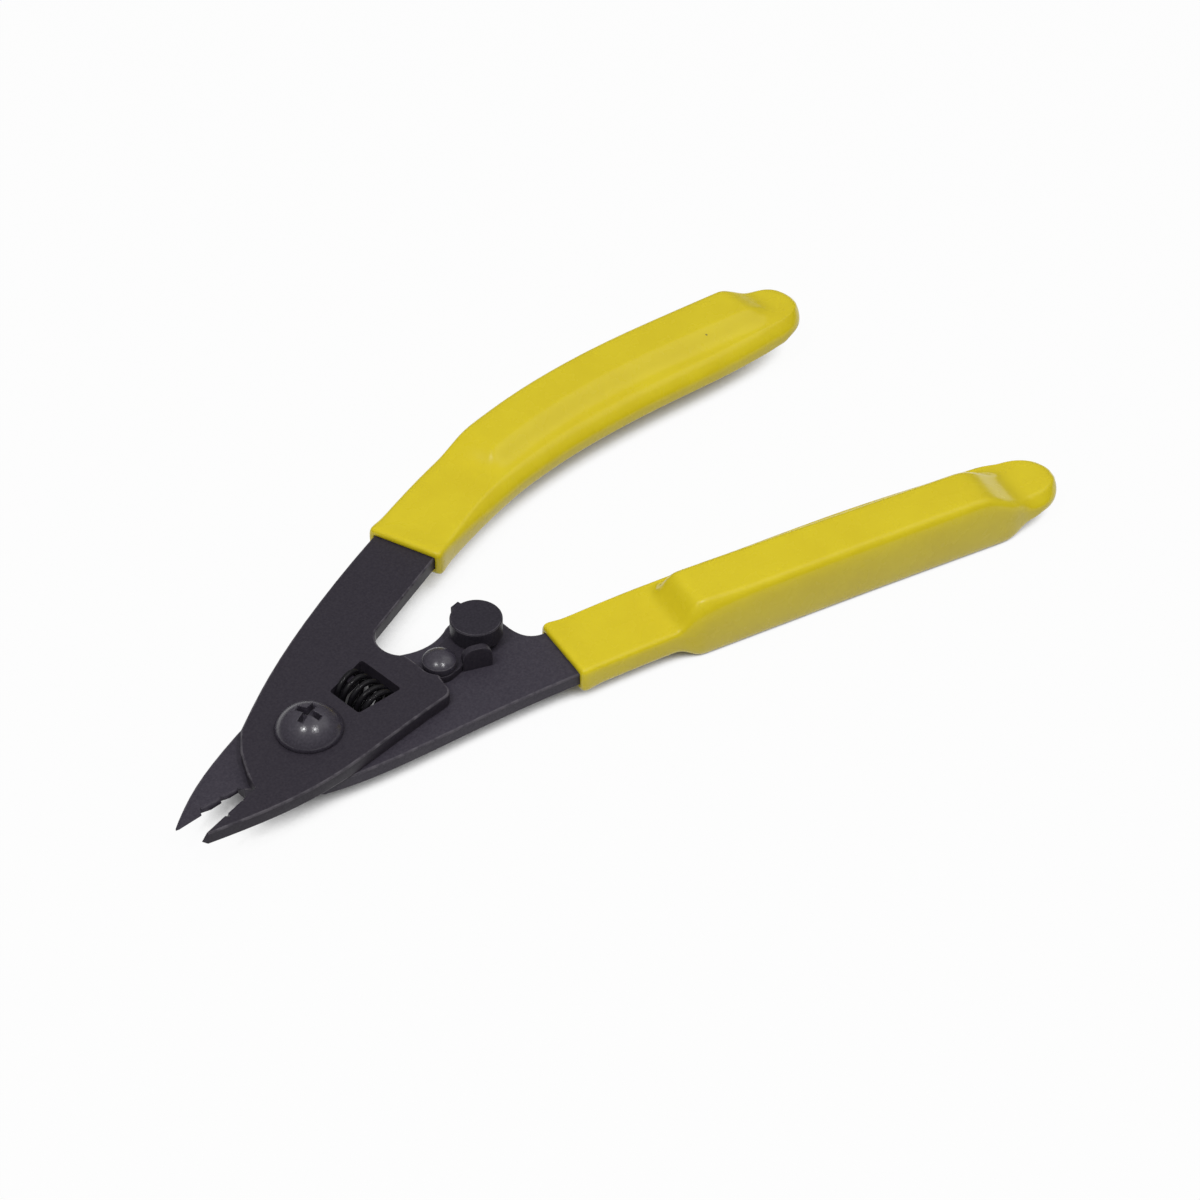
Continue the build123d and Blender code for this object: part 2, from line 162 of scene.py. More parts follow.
class ShaderSheet:
    """Node tree of one procedural material, on Object coordinates."""

    def __init__(self, name: str) -> None:
        """Starts an empty material.

        Args:
            name: Name of the material.
        """
        self.material = bpy.data.materials.new(name)
        self.material.use_nodes = True
        self.tree = self.material.node_tree
        self.tree.nodes.clear()
        self.output = self.tree.nodes.new("ShaderNodeOutputMaterial")
        self.surface = self.tree.nodes.new("ShaderNodeBsdfPrincipled")
        self.join(self.surface, "BSDF", self.output, "Surface")
        self.coordinates = self.tree.nodes.new("ShaderNodeTexCoord")

    def join(self, source: bpy.types.Node, out: str, target: bpy.types.Node, into: str) -> None:
        """Links two sockets by name.

        Args:
            source: Node that the link leaves.
            out: Name of its output.
            target: Node that the link enters.
            into: Name of its input.
        """
        self.tree.links.new(source.outputs[out], target.inputs[into])

    def noise(self, scale: float, detail: float) -> bpy.types.Node:
        """Noise on the piece's own coordinates.

        Args:
            scale: Grains per metre.
            detail: Octaves of finer noise.

        Returns:
            The noise node.
        """
        node = self.tree.nodes.new("ShaderNodeTexNoise")
        node.inputs["Scale"].default_value = scale
        node.inputs["Detail"].default_value = detail
        self.join(self.coordinates, "Object", node, "Vector")
        return node

    def range(self, source: bpy.types.Node, out: str, span: Sequence[float]) -> bpy.types.Node:
        """Maps a node's output to another range, with the span of map_range."""
        return map_range(self.tree, source.outputs[out], span)

    def blend(
        self, factor: bpy.types.Node, out: str, low: Sequence[float], high: Sequence[float]
    ) -> bpy.types.Node:
        """Colour between two, by a factor.

        Args:
            factor: Node that gives the factor.
            out: Name of its output.
            low: Colour at 0.
            high: Colour at 1.

        Returns:
            The mix node, whose Color socket gives the colour.
        """
        node = self.tree.nodes.new("ShaderNodeMixRGB")
        node.inputs["Color1"].default_value = low
        node.inputs["Color2"].default_value = high
        self.join(factor, out, node, "Fac")
        return node

    def bump(self, source: bpy.types.Node, out: str, strength: float, depth: float) -> None:
        """Bump into the surface's normal.

        Args:
            source: Node that gives the height.
            out: Name of its output.
            strength: Share of the bump.
            depth: Height in metres.
        """
        node = self.tree.nodes.new("ShaderNodeBump")
        node.inputs["Strength"].default_value = strength
        node.inputs["Distance"].default_value = depth
        self.join(source, out, node, "Height")
        self.join(node, "Normal", self.surface, "Normal")


@dataclass(frozen=True)
class VinylFinish:
    """Dipped glossy vinyl: even colour, a faint orange peel and a little cloudiness.

    Attributes:
        name: Name of the material.
        colour: Colour of most of the skin.
        shade: Colour of its clouds.
        fleck: Colour of its few specks of dust.
        roughness: Lowest and highest roughness.
        specular: Strength of the skin's own reflection.
        coat: Share of the gloss on top.
        coat_roughness: Roughness of that gloss.
        clouds: Clouds per metre.
        flecks: Specks per metre.
        patches: Patches of uneven gloss per metre.
        peel: Dimples of the orange peel per metre.
        peel_strength: Share of the peel's bump.
        peel_depth: Depth of a dimple in metres.
    """

    name: str = "dipped_vinyl"
    colour: Tone = (225, 205, 28)
    shade: Tone = (221, 200, 24)
    fleck: Tone = (120, 104, 40)
    roughness: Point2 = (0.24, 0.3)
    specular: float = 0.3
    coat: float = 0.3
    coat_roughness: float = 0.1
    clouds: float = 140
    flecks: float = 900
    patches: float = 260
    peel: float = 1500
    peel_strength: float = 0.12
    peel_depth: float = 0.0001

    def build(self) -> bpy.types.Material:
        """Makes the material.

        Returns:
            The material, on the piece's own coordinates.
        """
        sheet = ShaderSheet(self.name)
        cloud = sheet.range(sheet.noise(self.clouds, 3), "Fac", (0.35, 0.65, 0, 1))
        tone = sheet.blend(cloud, "Result", linear(*self.colour), linear(*self.shade))
        specks = sheet.range(sheet.noise(self.flecks, 1), "Fac", (0.815, 0.83, 0, 1))
        dusted = sheet.blend(specks, "Result", linear(*self.colour), linear(*self.fleck))
        sheet.join(tone, "Color", dusted, "Color1")
        sheet.join(dusted, "Color", sheet.surface, "Base Color")
        gloss = sheet.range(sheet.noise(self.patches, 4), "Fac", (0.3, 0.7, *self.roughness))
        sheet.join(gloss, "Result", sheet.surface, "Roughness")
        sheet.surface.inputs["Specular IOR Level"].default_value = self.specular
        sheet.surface.inputs["Coat Weight"].default_value = self.coat
        sheet.surface.inputs["Coat Roughness"].default_value = self.coat_roughness
        sheet.bump(sheet.noise(self.peel, 2), "Fac", self.peel_strength, self.peel_depth)
        return sheet.material


@dataclass(frozen=True)
class SteelFinish:
    """Black oxide on steel: dark and satin, with a fine grain, uneven gloss and lighter broken edges that
    are partly rubbed wear and partly painted highlight.

    Attributes:
        name: Name of the material.
        colour: Colour between the grains.
        light: Colour of the grains.
        rubbed_and_sheen: Colour of the broken edges, partly rubbed wear and partly painted highlight.
        roughness: Lowest and highest roughness.
        specular: Strength of the reflection.
        grain: Grains per metre.
        rub_and_sheen_patches: Patches per metre of the rubbed wear and painted highlight on the edges.
        patches: Patches of uneven gloss per metre.
        strength: Share of the grain's bump.
        depth: Height of a grain in metres.
    """

    name: str
    colour: Tone = (43, 39, 48)
    light: Tone = (56, 52, 60)
    rubbed_and_sheen: Tone = (92, 88, 94)
    roughness: Point2 = (0.4, 0.55)
    specular: float = 0.25
    grain: float = 2600
    rub_and_sheen_patches: float = 700
    patches: float = 160
    strength: float = 0.25
    depth: float = 0.00005

    def build(self) -> bpy.types.Material:
        """Makes the material.

        Returns:
            The material, on the piece's own coordinates.
        """
        sheet = ShaderSheet(self.name)
        speck = sheet.noise(self.grain, 3)
        fine = sheet.range(speck, "Fac", (0.3, 0.75, 0, 1))
        tone = sheet.blend(fine, "Result", linear(*self.colour), linear(*self.light))
        # Broken edges get a lighter tone in noisy patches: partly rubbed wear, partly painted highlight.
        patch = sheet.range(sheet.noise(self.rub_and_sheen_patches, 4), "Fac", (0.38, 0.62, 0.15, 0.75))
        edge = sheet.tree.nodes.new("ShaderNodeAttribute")
        edge.attribute_name = EDGE_WEAR_AND_SHEEN
        rub_and_sheen = sheet.tree.nodes.new("ShaderNodeMath")
        rub_and_sheen.operation = "MULTIPLY"
        sheet.tree.links.new(edge.outputs["Fac"], rub_and_sheen.inputs[0])
        sheet.tree.links.new(patch.outputs["Result"], rub_and_sheen.inputs[1])
        worn_and_sheen = sheet.blend(rub_and_sheen, "Value", linear(*self.colour), linear(*self.rubbed_and_sheen))
        sheet.join(tone, "Color", worn_and_sheen, "Color1")
        sheet.join(worn_and_sheen, "Color", sheet.surface, "Base Color")
        gloss = sheet.range(sheet.noise(self.patches, 5), "Fac", (0.3, 0.7, *self.roughness))
        sheet.join(gloss, "Result", sheet.surface, "Roughness")
        sheet.surface.inputs["Specular IOR Level"].default_value = self.specular
        sheet.bump(speck, "Fac", self.strength, self.depth)
        return sheet.material


class Loft:
    """Tube that grows ring by ring from its first ring."""

    def __init__(self, ring: Iterable[Vector]) -> None:
        """Lays the first ring and closes it with a face.

        Args:
            ring: Places of the first ring.
        """
        self.mesh = bmesh.new()
        self.ring = [self.mesh.verts.new(place) for place in ring]
        self.edges = [self.mesh.edges.new(pair) for pair in self.pairs()]
        self.cap()

    def pairs(self) -> list[tuple[bmesh.types.BMVert, bmesh.types.BMVert]]:
        """Neighbours round the last ring."""
        return list(zip(self.ring, self.ring[1:] + self.ring[:1]))

    def cap(self) -> None:
        """Closes the last ring with a face."""
        bmesh.ops.contextual_create(self.mesh, geom=self.edges)

    def grow(self, ring: Iterable[Vector]) -> None:
        """Extrudes the last ring to a new one.

        Args:
            ring: Places of the new ring, in the order of the last.
        """
        made = bmesh.ops.extrude_edge_only(self.mesh, edges=self.edges)["geom"]
        fresh = {item for item in made if isinstance(item, bmesh.types.BMVert)}
        self.ring = [
            next(edge.other_vert(old) for edge in old.link_edges if edge.other_vert(old) in fresh)
            for old in self.ring
        ]
        for vert, place in zip(self.ring, ring):
            vert.co = place
        self.edges = [self.mesh.edges.get(pair) for pair in self.pairs()]

    def finish(self, name: str) -> bpy.types.Object:
        """Closes the last ring and makes the object.

        Args:
            name: Name of the piece.

        Returns:
            The object, in place.
        """
        self.cap()
        bmesh.ops.recalc_face_normals(self.mesh, faces=self.mesh.faces)
        return as_piece(self.mesh, name)


def as_piece(mesh: bmesh.types.BMesh, name: str, smooth: bool = True) -> bpy.types.Object:
    """Turns a bmesh into a scene object at the origin.

    Args:
        mesh: The mesh, which is freed.
        name: Name of the piece.
        smooth: Whether its faces shade smoothly.

    Returns:
        The new object.
    """
    data = bpy.data.meshes.new(name)
    mesh.to_mesh(data)
    mesh.free()
    for face in data.polygons:
        face.use_smooth = smooth
    piece = bpy.data.objects.new(name, data)
    bpy.context.scene.collection.objects.link(piece)
    return piece


def dress(piece: bpy.types.Object, material: bpy.types.Material) -> None:
    """Gives a piece one material all over.

    Args:
        piece: The object.
        material: Its finish.
    """
    piece.data.materials.clear()
    piece.data.materials.append(material)


class Curve:
    """Smooth plan curve through stations with a heading at each."""

    def __init__(self, stations: Sequence[Point3]) -> None:
        """Keeps the stations.

        Args:
            stations: x, y and heading in degrees, in the order of x.
        """
        self.stations = stations

    def height(self, x: float) -> float:
        """y at an x, carried straight on past the ends.

        Args:
            x: Place along the tool.

        Returns:
            The curve's y there.
        """
        first, last = self.stations[0], self.stations[-1]
        if x <= first[0]:
            return first[1] + (x - first[0]) * math.tan(math.radians(first[2]))
        if x >= last[0]:
            return last[1] + (x - last[0]) * math.tan(math.radians(last[2]))
        low = max(i for i, station in enumerate(self.stations[:-1]) if station[0] <= x)
        (x0, y0, h0), (x1, y1, h1) = self.stations[low], self.stations[low + 1]
        span = x1 - x0
        t = (x - x0) / span
        m0, m1 = math.tan(math.radians(h0)) * span, math.tan(math.radians(h1)) * span
        return (
            (2 * t**3 - 3 * t**2 + 1) * y0
            + (t**3 - 2 * t**2 + t) * m0
            + (3 * t**2 - 2 * t**3) * y1
            + (t**3 - t**2) * m1
        )

    def slope(self, x: float) -> float:
        """Heading in radians at an x.

        Args:
            x: Place along the tool.

        Returns:
            The curve's heading there.
        """
        step = 0.05
        return math.atan2(self.height(x + step) - self.height(x - step), 2 * step)


@dataclass
class Grip:
    """Vinyl grip of one handle: a thin sleeve that swells into a raised bar along its outer side.

    Lengths are in millimetres. The web is the part of the sleeve that stays thin beside the bar.

    Attributes:
        name: Name of the piece.
        node: CAD node that it stands for.
        body: Body that it rides on.
        strip: Handle's strip: x, y, width, and heading in degrees at each station.
        ridge: Middle line of the bar: x, y, and heading in degrees.
        inner: 1 where the inner side lies towards +y, -1 where it lies towards -y.
        plate_low: Height of the strip's lower face.
        flare_start: x at which the bar starts to rise.
        flare_length: Length over which it rises.
        upper_tail: x at which the bar's upper half starts to drop, and the length of the drop.
        lower_tail: The same for its lower half.
        plate_thick: Thickness of the strip.
        coat: Thickness of the vinyl round the strip.
        bar_width: Width of the bar.
        bar_half: Half of the bar's height.
        bar_edge: Rounding of the bar's upper outer edge.
        corner_edge: Rounding of that edge beside the flare.
        low_edge: Rounding of the bar's lower outer edge.
        bulge: How far the bar's outer wall stands out at half height.
        spread: x and extra width of the bar's inner side, at two places.
        sleeve_edge: Rounding of the sleeve's edges.
        web_edge: Rounding of the web's upper edge.
        under_edge: Rounding of the web's lower edge.
        nub_edge: Rounding of the closed end.
        nub_trim: Share by which the closed end narrows, on its inner and its outer side.
        settle: Length over which one rounding passes into another.
        bead: How far the lip at the mouth stands out.
        upper_round: Rounding of the bar's upper inner edge.
        lower_round: Rounding of the bar's lower inner edge.
        foot: Reach of the fillet between the bar and the web.
        crest_hold: Distance of the points that keep the top level, past its rounding and its middle.
        top_hold: Distance of the last such point from the outer side.
        brow: Start and end of the flare along the bar's inner side, as shares of its length.
        pocket_end: Vinyl left between the pocket and the start of the closed end.
    """

    name: str
    node: str
    body: str
    strip: Sequence[tuple[float, float, float, float]]
    ridge: Sequence[Point3]
    inner: int
    plate_low: float
    flare_start: float
    flare_length: float
    upper_tail: Point2
    lower_tail: Point2
    plate_thick: float = 2.5
    coat: float = 1.0
    bar_width: float = 9.4
    bar_half: float = 5.65
    bar_edge: float = 0.7
    corner_edge: float = 0.7
    low_edge: float = 0.7
    bulge: float = 0.3
    spread: tuple[Point2, Point2] = ((60.0, 0.0), (120.0, 0.0))
    sleeve_edge: float = 0.6
    web_edge: float = 1.4
    under_edge: float = 0.35
    nub_edge: float = 1.7
    nub_trim: Point2 = (0.0, 0.0)
    settle: float = 5.0
    bead: float = 0.25
    upper_round: float = 1.3
    lower_round: float = 4.0
    foot: float = 2.0
    crest_hold: float = 0.6
    top_hold: float = 2.2
    brow: Point2 = (0.0, 1.0)
    pocket_end: float = 0.5

    def __post_init__(self) -> None:
        """Draws the middle lines of the handle and of the bar."""
        self.middle = Curve([(x, y, turn) for x, y, _, turn in self.strip])
        self.bar_line = Curve(self.ridge)
        self.widths = Curve([(x, width, 0.0) for x, _, width, _ in self.strip])
        self.mouth = self.strip[0][0]
        self.end = self.strip[-1][0]
        self.sleeve_top = self.plate_low + self.plate_thick + self.coat
        self.sleeve_low = self.plate_low - self.coat
        self.waist = (self.sleeve_top + self.sleeve_low) / 2
        self.half_thick = (self.sleeve_top - self.sleeve_low) / 2

    def half_width(self, x: float) -> float:
        """Half of the sleeve's width at an x."""
        return self.widths.height(x) / 2 + self.coat

    def rise(self, x: float, upper: bool, snug: bool = False) -> float:
        """Share of the bar's height that is reached at an x.

        Args:
            x: Place along the tool.
            upper: True for the side above the handle's strip.
            snug: True for the steeper flare along the bar's inner side.

        Returns:
            0 on the sleeve, 1 on the bar.
        """
        start, length = self.upper_tail if upper else self.lower_tail
        shares = self.brow if snug else (0.0, 1.0)
        begin, top = (self.flare_start + share * self.flare_length for share in shares)
        up = ramp(x, begin, top)
        return up * (1 - ramp(x, start, start + length))

    def place(self, x: float, across: float, height: float) -> Vector:
        """Point beside the middle line.

        Args:
            x: Place along the tool.
            across: Distance from the middle line, to the inner side.
            height: Height above the sliding face.

        Returns:
            The point in the part's frame.
        """
        turn = self.middle.slope(x)
        side = self.inner * across
        return in_frame((x - math.sin(turn) * side, self.middle.height(x) + math.cos(turn) * side, height))

    def half_section(self, x: float, upper: bool) -> list[Point2]:
        """Upper or lower half of the outer cross section, from the inner edge to the outer.

        Args:
            x: Place along the tool.
            upper: True for the upper half.

        Returns:
            Distances from the middle line to the inner side, and heights.
        """
        way = 1 if upper else -1
        base = self.sleeve_top if upper else self.sleeve_low
        swell = self.bar_half - way * base
        top = base + way * self.rise(x, upper) * swell
        fold = self.rise(x, upper, True) * swell
        half = self.half_width(x)
        bar, inner, outer = self.bar_span(x)
        rim, edge = self.roundings(x, upper)
        return [
            (half, base - way * rim),
            (half - rim, base),
            ((half - rim + inner + self.foot) / 2, base),
            (inner + self.foot, base),
            *(self.upper_wall(inner, fold) if upper else self.lower_wall(inner, fold)),
            (bar - self.crest_hold, top),
            (outer + self.top_hold, top),
            (outer + edge, top),
            (outer, top - way * edge),
        ]

    def bar_span(self, x: float) -> Point3:
        """Where the bar lies across the handle at an x.

        Args:
            x: Place along the tool.

        Returns:
            Distances of its middle, inner and outer side from the middle line, to the inner side.
        """
        turn = self.middle.slope(x)
        bar = self.inner * (self.bar_line.height(x) - self.middle.height(x)) * math.cos(turn)
        inner, outer = bar + self.bar_width / 2 + self.widening(x), bar - self.bar_width / 2
        risen = max(self.rise(x, True), self.rise(x, False))
        return bar, inner, mix(-self.half_width(x), outer, risen)

    def roundings(self, x: float, upper: bool) -> Point2:
        """Roundings of the upper or lower half at an x.

        Args:
            x: Place along the tool.
            upper: True for the upper half.

        Returns:
            Rounding of the web's edge and of the bar's outer edge.
        """
        late = ramp(x, self.end - self.settle, self.end)
        rise = self.rise(x, upper)
        if not upper:
            edge = mix(self.sleeve_edge, self.low_edge, rise)
            return mix(self.under_edge, self.sleeve_edge, late), mix(edge, self.sleeve_edge, late)
        crown = self.flare_start + self.flare_length
        near = 1 - ramp(x, crown, crown + self.settle)
        edge = mix(self.sleeve_edge, mix(self.bar_edge, self.corner_edge, near), rise)
        rim = mix(self.sleeve_edge, self.web_edge, ramp(x, self.mouth, self.flare_start))
        return mix(rim, self.nub_edge, late), mix(edge, self.nub_edge, late)

    def upper_wall(self, inner: float, fold: float) -> list[Point2]:
        """Steep inner wall of the bar's upper half, from its foot to its crest.

        Args:
            inner: Distance of the wall from the middle line.
            fold: Height of the wall.

        Returns:
            Distances from the middle line to the inner side, and heights.
        """
        soft, crest = self.upper_round, self.sleeve_top + fold
        return [
            (inner + 0.35 * self.foot, self.sleeve_top + 0.24 * fold),
            (inner + 0.1 - 0.2 * soft, crest - min(0.6 * soft, 0.4 * fold)),
            (inner - soft, crest),
            (inner - soft - self.crest_hold, crest),
        ]

    def lower_wall(self, inner: float, fold: float) -> list[Point2]:
        """Slanted inner wall of the bar's lower half, from its foot to its crest.

        Args:
            inner: Distance of the wall from the middle line.
            fold: Height of the wall.

        Returns:
            Distances from the middle line to the inner side, and heights.
        """
        soft, crest = self.lower_round, self.sleeve_low - fold
        return [
            (inner + 0.2, self.sleeve_low - 0.3 * fold),
            (inner - 0.35 * soft, self.sleeve_low - 0.68 * fold),
            (inner - soft, crest),
            (inner - soft - self.crest_hold, crest),
        ]

    def section(self, x: float) -> list[Point2]:
        """Whole outer cross section, round from the inner edge over the top.

        Args:
            x: Place along the tool.

        Returns:
            Distances from the middle line to the inner side, and heights.
        """
        upper, lower = self.half_section(x, True), self.half_section(x, False)
        rise = self.rise(x, True)
        outer = (upper[-1][0] - self.bulge * rise, self.waist * (1 - rise))
        return [(upper[0][0], (upper[0][1] + lower[0][1]) / 2), *upper, outer, *reversed(lower)]

    def widening(self, x: float) -> float:
        """How far the bar's inner edge is set out at an x.

        Args:
            x: Place along the tool.

        Returns:
            Extra width on the inner side.
        """
        (start, most), (end, least) = self.spread
        return mix(most, least, min(max((x - start) / (end - start), 0.0), 1.0))

    def lip_ring(self, ahead: float, swell: float) -> list[Vector]:
        """Ring of the rounded bead at the mouth.

        Args:
            ahead: Distance from the mouth.
            swell: How far the skin stands out from the sleeve.

        Returns:
            Places of the ring.
        """
        x = self.mouth + ahead
        wide, tall = 1 + swell / self.half_width(x), 1 + swell / self.half_thick
        return [
            self.place(x, across * wide, self.waist + (height - self.waist) * tall)
            for across, height in self.section(x)
        ]

    def pocket(self, x: float) -> list[Vector]:
        """Ring of the pocket that the handle's strip fills.

        Args:
            x: Place along the tool.

        Returns:
            Places of the ring.
        """
        half = self.widths.height(x) / 2
        low, high = self.plate_low, self.plate_low + self.plate_thick
        return [
            self.place(x, min(max(across, -half), half), min(max(height, low), high))
            for across, height in self.section(x)
        ]

    def nub(self, turn: float) -> list[Vector]:
        """Ring of the rounded end.

        Args:
            turn: Angle round the end, in degrees.

        Returns:
            Places of the ring.
        """
        half = self.half_width(self.end)
        inner_trim, outer_trim = self.nub_trim
        narrow, ahead = math.cos(math.radians(turn)), half * math.sin(math.radians(turn))
        heading = self.middle.slope(self.end)
        shift = Vector((math.cos(heading), math.sin(heading), 0)) * ahead * MM
        ring = []
        for across, height in self.section(self.end):
            across *= narrow
            left = min(max(half - math.hypot(ahead, across), 0.0), self.nub_edge)
            most = self.half_thick - self.nub_edge + math.sqrt(left * (2 * self.nub_edge - left))
            across *= 1 - (outer_trim if across < 0 else inner_trim) * ahead / half
            height = min(max(height, self.waist - most), self.waist + most)
            ring.append(self.place(self.end, across, height) + shift)
        return ring

    def stations(self) -> list[float]:
        """Places of the rings along the outside, closer together in the flare and the tail.

        Returns:
            Values of x in rising order.
        """
        flare = [self.flare_start + self.flare_length * share for share in FLARE_RINGS]
        before, short = TAIL_REACH
        drop = min(self.upper_tail[0], self.lower_tail[0]) - before
        tail = [mix(drop, self.end - short, i / 9) for i in range(10)]
        sleeve = [self.mouth + ahead for ahead in SLEEVE_RINGS]
        sleeve += [mix(sleeve[-1], flare[0], share) for share in (0.33, 0.67)]
        bar = [mix(flare[-1], tail[0], i / 8) for i in range(1, 8)]
        return sleeve + flare + bar + tail

    def build(self, material: bpy.types.Material) -> bpy.types.Object:
        """Makes the grip in place of its node.

        Args:
            material: Its finish.

        Returns:
            The grip's object.
        """
        back = self.end - self.pocket_end
        deep = [mix(back, self.flare_start, i / 9) for i in range(10)]
        loft = Loft(self.pocket(deep[0]))
        for x in deep[1:] + [self.mouth + ahead for ahead in POCKET_RINGS]:
            loft.grow(self.pocket(x))
        for ahead, share in LIP_RINGS:
            loft.grow(self.lip_ring(ahead, share * self.bead))
        for x in self.stations():
            loft.grow(self.place(x, across, height) for across, height in self.section(x))
        for turn in END_RINGS:
            loft.grow(self.nub(turn))
        piece = loft.finish(self.name)
        smooth = piece.modifiers.new("round", "SUBSURF")
        smooth.levels = 2
        smooth.render_levels = 2
        dress(piece, material)
        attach(piece, self.body)
        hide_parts(self.node)
        return piece


@dataclass
class Fitting:
    """Steel piece that keeps its node's shape and gets softly broken edges.

    Lengths are in millimetres.

    Attributes:
        node: CAD node that it stands for.
        body: Body that it rides on.
        slot: Its material slot; not used.
        ease: Width of a broken edge.
        finish: Its finish.
        steps: Facets of a broken edge.
        least: Least angle in degrees at which an edge is broken.
        most: Greatest angle in degrees at which an edge is broken.
        outline: True where only the outlines of the level faces are broken.
        end_zone: Length at the far end from which those outlines are followed.
        keen: Start, end and half width of a jaw's ground zone, whose edges stay sharp.
        keen_past: How far the ground zone runs on past its start and its end.
    """

    node: str
    body: str
    slot: Slot
    ease: float
    finish: SteelFinish
    steps: int = 2
    least: float = 35.0
    most: float = 100.0
    outline: bool = False
    end_zone: float = 0.5
    keen: tuple[Point2, Point2, float] | None = None
    keen_past: Point2 = (2.0, 0.5)

    def keeps_keen(self, edge: bmesh.types.BMEdge) -> bool:
        """Whether an edge lies in the ground zone of a jaw and stays sharp.

        Args:
            edge: Edge of the merged copy.

        Returns:
            True along the cutting edge and its notches.
        """
        if self.keen is None:
            return False
        start, end, reach = self.keen
        run = Vector(end) - Vector(start)
        before, after = self.keen_past
        for vert in edge.verts:
            offset = Vector((vert.co.x / MM - PIVOT.x, vert.co.y / MM - PIVOT.y)) - Vector(start)
            along = offset.dot(run.normalized())
            across = abs(run.normalized().cross(offset))
            if not (-before < along < run.length + after and across < reach):
                return False
        return True

    def corners(self, mesh: bmesh.types.BMesh) -> list[bmesh.types.BMEdge]:
        """Edges of the merged copy that are broken.

        Args:
            mesh: The merged copy.

        Returns:
            Every corner, or only the outlines of the flat faces.
        """
        low, high = math.radians(self.least), math.radians(self.most)
        found = [
            edge
            for edge in mesh.edges
            if edge.is_manifold and low < edge.calc_face_angle() < high and not self.keeps_keen(edge)
        ]
        if not self.outline:
            return found
        rims = {edge for edge in found if any(abs(face.normal.z) > LEVEL for face in edge.link_faces)}
        chain: set[bmesh.types.BMEdge] = set()
        far = max(vert.co.x for vert in mesh.verts) - self.end_zone * MM
        fresh = {edge for edge in rims if max(vert.co.x for vert in edge.verts) > far}
        while fresh:
            chain |= fresh
            nearby = (near for edge in fresh for vert in edge.verts for near in vert.link_edges)
            fresh = {near for near in nearby if near in rims} - chain
        return list(chain)

    def build(self) -> bpy.types.Object:
        """Copies the node, merges its triangles, breaks its edges and dresses it.

        Returns:
            The piece that stands for the node.
        """
        mesh = bmesh.new()
        mesh.from_mesh(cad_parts[self.node].data)
        bmesh.ops.remove_doubles(mesh, verts=mesh.verts, dist=DOUBLES * MM)
        one_face = math.radians(ONE_FACE)
        bmesh.ops.dissolve_limit(mesh, angle_limit=one_face, verts=mesh.verts, edges=mesh.edges)
        broken = bmesh.ops.bevel(
            mesh,
            geom=self.corners(mesh),
            offset=self.ease * MM,
            offset_type="OFFSET",
            segments=self.steps,
            profile=0.5,
            affect="EDGES",
            material=-1,
            clamp_overlap=not self.outline,
        )
        # Marks the broken edges for their lighter tone of rubbed wear and painted highlight.
        wear_and_sheen = mesh.loops.layers.float.new(EDGE_WEAR_AND_SHEEN)
        for face in broken["faces"]:
            for corner in face.loops:
                corner[wear_and_sheen] = 1.0
        bmesh.ops.triangulate(mesh, faces=[face for face in mesh.faces if len(face.verts) > 4])
        piece = as_piece(mesh, self.node + "_eased")
        piece.data.set_sharp_from_angle(angle=math.radians(SHARP))
        shade = piece.modifiers.new("flat_faces", "WEIGHTED_NORMAL")
        shade.keep_sharp = True
        dress(piece, self.finish.build())
        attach(piece, self.body)
        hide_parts(self.node)
        return piece


